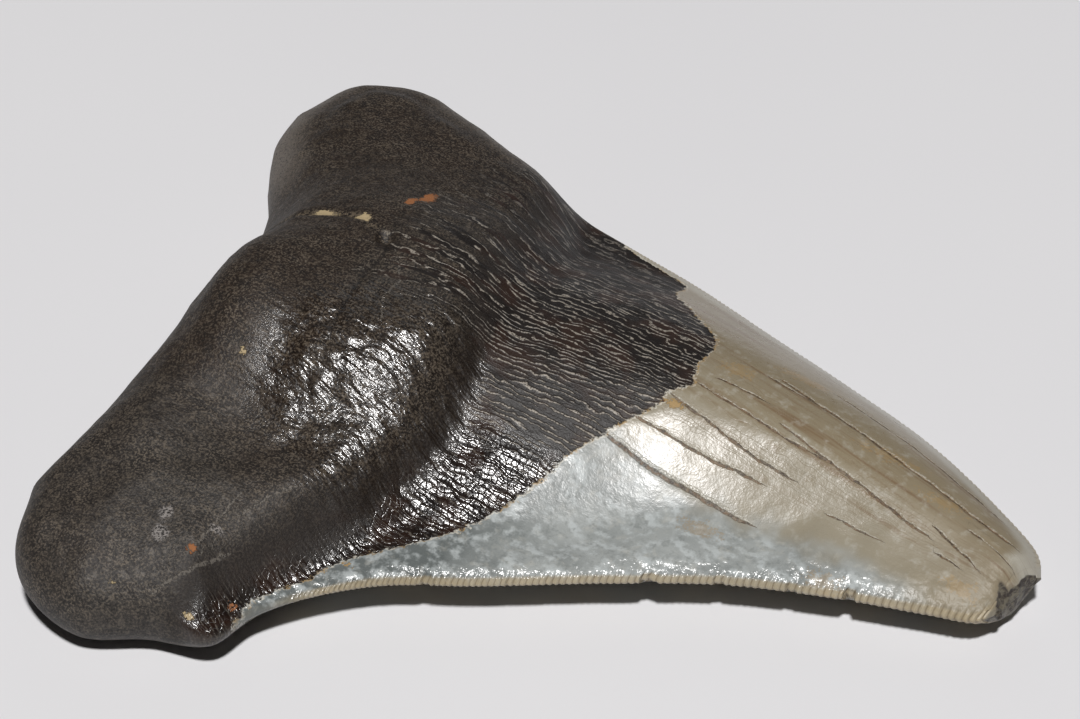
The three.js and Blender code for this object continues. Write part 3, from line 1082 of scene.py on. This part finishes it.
def bourlette_finish(tree, at):
    """Near-black chevron with fine pale growth lines, partly their own colour and partly a painted highlight
    on their ridges, crazed and glossy on its near flank.
    """
    near_flank = at.near_flank
    run = at.measure("growth") * (2 * math.pi) + (at.wave - 0.5) * 14 + (at.jag - 0.5) * 3
    crests = (run.sine() * 0.5 + 0.5) ** 3.0
    breaks = tree.noise(tree.vector(at.x * 0.25, at.slant * 2.4, 8.0), 1.0, 1.0, 0.6)
    striae = crests * breaks.ramp(0.34, 0.54)
    ribs = ((at.slant * (2 * math.pi / 0.70) + (at.wave - 0.5) * 11).sine() * 0.5 + 0.5) * near_flank
    # The pale growth lines are partly real and partly a painted highlight on their ridges.
    pale = striae.ramp(0.25, 0.8) * at.grain.ramp(0.40, 0.56, 0.12, 1.0) * (1 - near_flank * 0.75)
    pale = pale * at.y.ramp(12.0, 24.0, 1.0, 0.45)
    dark = tree.mix(at.clouds.ramp(0.45, 0.65), BOURLETTE_DARK, BOURLETTE_BROWN)
    paint = tree.mix(pale * 0.9, dark, BOURLETTE_LINE_AND_GLINT)
    settings = {"voronoi_dimensions": "2D", "feature": "DISTANCE_TO_EDGE"}
    net = tree.node("ShaderNodeTexVoronoi", settings, {"Vector": at.drawn, "Scale": 1.6}).ramp(0.0, 0.12)
    height = striae * 0.07 * (1 - near_flank * 0.6) + (at.grain - 0.5) * (0.06 - near_flank * 0.035)
    height = height + (net * 0.04 + ribs * 0.045) * near_flank
    roughness = 0.52 - near_flank * 0.24 - striae * 0.10 + (at.grain - 0.5) * 0.2
    return paint, height, roughness


def enamel_finish(tree, at):
    """Glossy enamel: grey on the near flank, warm in the middle, streaked beige on the far flank, with
    painted sheen on the near flank and painted light on the far edge's bevel.
    """
    streak = tree.noise(tree.vector(at.x * 0.06, at.fan * 0.9, 12.0), 1.0, 2.0, 0.6)
    mottled = tree.noise(at.drawn, 0.8, 3.0, 0.65, 0.0, 13.0)
    drift = at.fan + (at.clouds - 0.5) * 7
    slate = (at.clouds.ramp(0.34, 0.70) * 0.45 + at.x.ramp(6.0, -6.0) * 0.9).least(1.0)
    paint = tree.mix(slate, ENAMEL_GREY, ENAMEL_SLATE)
    paint = tree.mix(drift.ramp(-2.5, 2.5), paint, ENAMEL_WARM)
    paint = tree.mix((drift + (streak - 0.5) * 14).ramp(4.0, 13.0), paint, ENAMEL_BEIGE)
    paint = tree.mix(at.x.ramp(34.0, 46.0) * 0.6, paint, ENAMEL_BEIGE)
    paint = tree.mix(streak.ramp(0.52, 0.72) * at.fan.ramp(3.0, 11.0) * 0.6, paint, ENAMEL_BROWN)
    labial = tree.mix(at.clouds.ramp(0.3, 0.7), ENAMEL_BEIGE, ENAMEL_SLATE)
    labial = tree.mix(streak.ramp(0.55, 0.75) * 0.5, labial, ENAMEL_BROWN)
    paint = tree.mix(at.lingual, labial, paint)
    # Painted light: the flat bevel along the far edge is painted paler. The pale mottled patches below are
    # the enamel's own colour.
    far_bevel_light = at.inside.ramp(3.0, 1.4) * (1 - at.near_side)
    paint = tree.mix(far_bevel_light * 0.6, paint, ENAMEL_PALE_AND_LIT)
    paint = tree.mix(mottled.ramp(0.5, 0.75) * 0.35, paint, ENAMEL_PALE_AND_LIT)
    cool = drift.ramp(1.0, -3.0) * at.lingual
    # Painted sheen: whitish patches painted over the near flank.
    paint = tree.mix((at.jag + at.wave * 1.2 - 0.6).ramp(0.42, 0.85) * cool * 0.7, paint, ENAMEL_SHEEN)
    paint = tree.mix(at.jag.ramp(0.46, 0.30) * cool * 0.3, paint, ENAMEL_SLATE)

    hair_place = tree.vector(at.x * 0.09, at.fan * 2.6 + (at.wave - 0.5) * 2.5, 14.0)
    hairs = abs(tree.noise(hair_place, 1.0, 0.0) - 0.5).ramp(0.030, 0.004) * at.fan.ramp(1.0, 8.0)
    paint = tree.mix(hairs * 0.22, paint, ENAMEL_BROWN)
    paint = tree.mix(at.mark("stain", 3.4) * 0.3, paint, STAIN)

    stray = (at.jag - 0.5) * 0.35
    odd = at.line("odd_crack", stray)
    even = at.line("even_crack", stray)
    cut = abs(odd).ramp(1.1, 0.5).most(abs(even).ramp(1.1, 0.5))
    lip = abs(odd - 1.7).ramp(1.0, 0.2).most(abs(even - 1.7).ramp(1.0, 0.2)) * (1 - cut)
    lip = lip * at.grain.ramp(0.40, 0.56)
    paint = tree.mix(lip * 0.5, paint, LIP_WHITE)
    filled = tree.mix(at.jag.ramp(0.4, 0.6), CRACK_BROWN, CRACK_TAN)
    paint = tree.mix(cut * at.grain.ramp(0.62, 0.44, 0.5, 0.9), paint, filled)

    teeth = (at.measure("serration") * (2 * math.pi) - math.pi / 2).sine() * 0.5 + 0.5
    rim = at.inside.ramp(1.0, 0.5) * at.toothed
    paint = tree.mix(at.inside.ramp(0.75, 0.35) * at.toothed * (0.55 + at.near_side * 0.1), paint, RIM_TAN)
    # Painted shade in the notches between the serrations.
    paint = tree.mix(teeth.ramp(0.22, 0.0) * rim * 0.45, paint, SERRATION_GAP_SHADE)
    height = (mottled - 0.5) * 0.050 + (at.grain - 0.5) * 0.012 - cut * 0.05 + lip * 0.03 - hairs * 0.01
    near_band = at.inside.ramp(5.0, 1.5) * at.near_side * at.lingual
    height = height + teeth * rim * 0.03 + (at.wave * 1.2 + mottled * 0.4) * near_band * 0.36
    roughness = 0.30 + at.x.ramp(33.0, 45.0) * 0.26 + (mottled - 0.5) * 0.2 + cut * 0.3
    roughness = roughness - at.inside.ramp(3.0, 1.0) * at.near_side * 0.08
    return paint, height, roughness, mottled


def fossil_material():
    material = bpy.data.materials.new("fossil_tooth")
    material.use_nodes = True
    material.node_tree.nodes.clear()
    tree = Tree(material.node_tree)
    at = Readings(tree)
    root, root_height, root_dull = root_finish(tree, at)
    band, band_height, band_dull = bourlette_finish(tree, at)
    skin, skin_height, skin_dull, mottled = enamel_finish(tree, at)

    # The bourlette's growth lines thin out over the far half of the root's dome.
    spread = (at.past_valley + (at.clouds - 0.5) * 4).ramp(-1.0, 2.0)
    back = tree.noise(tree.vector(at.x * 0.10, at.slant * 1.3, 10.0), 1.0, 1.0, 0.6).ramp(0.47, 0.58)
    back = back * at.x.ramp(-27.0, -19.0) * at.y.ramp(-6.0, 2.0)
    banded = spread.most(back) * at.lingual
    body = tree.mix(banded, root, band)
    height = tree.blend(banded, root_height, band_height)
    roughness = tree.blend(banded, root_dull, band_dull)

    # The enamel's edge is jagged where it meets the bourlette, with a pale, partly orange seam.
    edge = at.past_enamel + (at.jag - 0.5) * (at.lingual * 1.0 + 0.6)
    enamel = edge.ramp(-0.12, 0.12)
    body = tree.mix(enamel, body, skin)
    height = tree.blend(enamel, height, skin_height + 0.10)
    roughness = tree.blend(enamel, roughness, skin_dull)
    seam = abs(edge - 0.10).ramp(0.24, 0.05) * at.grain.ramp(0.36, 0.5) * at.lingual
    body = tree.mix(seam * 0.7, body, tree.mix(mottled.ramp(0.45, 0.6), LIP_WHITE, STAIN))

    sand = at.mark("sand")
    orange = at.mark("orange")
    body = tree.mix(sand * 0.85, body, SEDIMENT_SAND)
    body = tree.mix(orange * 0.8, body, tree.mix(enamel, SEDIMENT_ORANGE, STAIN))
    chipped = at.measure("chipped")
    body = tree.mix(chipped.ramp(0.05, 0.4), body, tree.mix(at.jag.ramp(0.4, 0.6), CHIP_DARK, CHIP_GREY))
    height = height + sand * 0.10 + orange * 0.05 + (at.jag - 0.5) * 0.4 * chipped
    roughness = (roughness + sand.most(orange) * 0.3).least(0.9).most(0.12)

    bump = tree.node("ShaderNodeBump", None, {"Strength": 1.0, "Distance": UNIT, "Height": height}, "Normal")
    coat = tree.blend(banded, at.polished, at.near_flank) * (1 - enamel) * 0.9
    values = {"Base Color": body, "Roughness": roughness, "Normal": bump, "IOR": 1.5}
    values.update({"Coat Weight": coat, "Coat Roughness": 0.14, "Coat Normal": bump})
    surface = tree.node("ShaderNodeBsdfPrincipled", None, values)
    out = tree.nodes.new("ShaderNodeOutputMaterial")
    tree.links.new(surface.socket, out.inputs["Surface"])
    return material


# ---------------------------------------------------------------- table, lamps and camera


def table_material():
    material = bpy.data.materials.new("pale_table")
    material.use_nodes = True
    material.node_tree.nodes.clear()
    tree = Tree(material.node_tree)
    place = tree.node("ShaderNodeTexCoord", None, None, "Object")
    soft = tree.noise(place, 9.0, 2.0, 0.5)
    paper = tree.mix(soft, colour(228, 228, 231), colour(234, 234, 236))
    values = {"Base Color": paper, "Roughness": 0.75, "Specular IOR Level": 0.2}
    surface = tree.node("ShaderNodeBsdfPrincipled", None, values)
    out = tree.nodes.new("ShaderNodeOutputMaterial")
    tree.links.new(surface.socket, out.inputs["Surface"])
    return material


TABLE_HALF = 3.0  # metres


def make_table():
    mesh = bpy.data.meshes.new("table_top")
    half = TABLE_HALF
    corners = [(-half, -half, low.z), (half, -half, low.z), (half, half, low.z), (-half, half, low.z)]
    mesh.from_pydata(corners, [], [(0, 1, 2, 3)])
    mesh.materials.append(table_material())
    table = bpy.data.objects.new("table_top", mesh)
    bpy.context.scene.collection.objects.link(table)
    return table


def turned(azimuth, elevation):
    """The direction back from the tooth to something at this azimuth and elevation."""
    a, e = math.radians(azimuth), math.radians(elevation)
    return Vector((math.sin(a) * math.cos(e), -math.cos(a) * math.cos(e), math.sin(e)))


AIM = PLACE + Vector((-11.3, 17.0, 0.0)) * UNIT
CAMERA_TURN, CAMERA_RISE, CAMERA_AWAY = 25.0, 38.0, 354.0
LENS, SENSOR = 107.57, 36.0


def make_camera():
    camera = bpy.data.cameras.new("camera")
    camera.lens = LENS
    camera.sensor_width = SENSOR
    camera.sensor_fit = "HORIZONTAL"
    camera.clip_start = 0.01
    camera.clip_end = 20.0
    holder = bpy.data.objects.new("camera", camera)
    back = turned(CAMERA_TURN, CAMERA_RISE)
    holder.location = AIM + back * CAMERA_AWAY * UNIT
    holder.rotation_mode = "QUATERNION"
    holder.rotation_quaternion = (-back).to_track_quat("-Z", "Y")
    bpy.context.scene.collection.objects.link(holder)
    bpy.context.scene.camera = holder


def make_lamp(name, azimuth, elevation, away, size, power, tint):
    lamp = bpy.data.lights.new(name, "AREA")
    lamp.shape = "DISK"
    lamp.size = size
    lamp.energy = power
    lamp.color = tint
    holder = bpy.data.objects.new(name, lamp)
    back = turned(azimuth, elevation)
    holder.location = PLACE + back * away
    holder.rotation_mode = "QUATERNION"
    holder.rotation_quaternion = (-back).to_track_quat("-Z", "Y")
    bpy.context.scene.collection.objects.link(holder)


def make_world():
    world = bpy.data.worlds.new("room")
    world.use_nodes = True
    background = world.node_tree.nodes["Background"]
    background.inputs["Color"].default_value = (0.93, 0.95, 1.0, 1.0)
    background.inputs["Strength"].default_value = 0.011
    bpy.context.scene.world = world


tooth = make_tooth(fossil_material())
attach(tooth, "root")
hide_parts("tooth")
make_table()
make_lamp("key_lamp", 25.0, 66.0, 2.2, 0.22, 46.0, (1.0, 0.985, 0.975))
make_lamp("back_lamp", 200.0, 32.0, 2.4, 1.4, 1.6, (0.92, 0.96, 1.0))
make_world()
make_camera()
bpy.context.scene.view_settings.view_transform = "Standard"
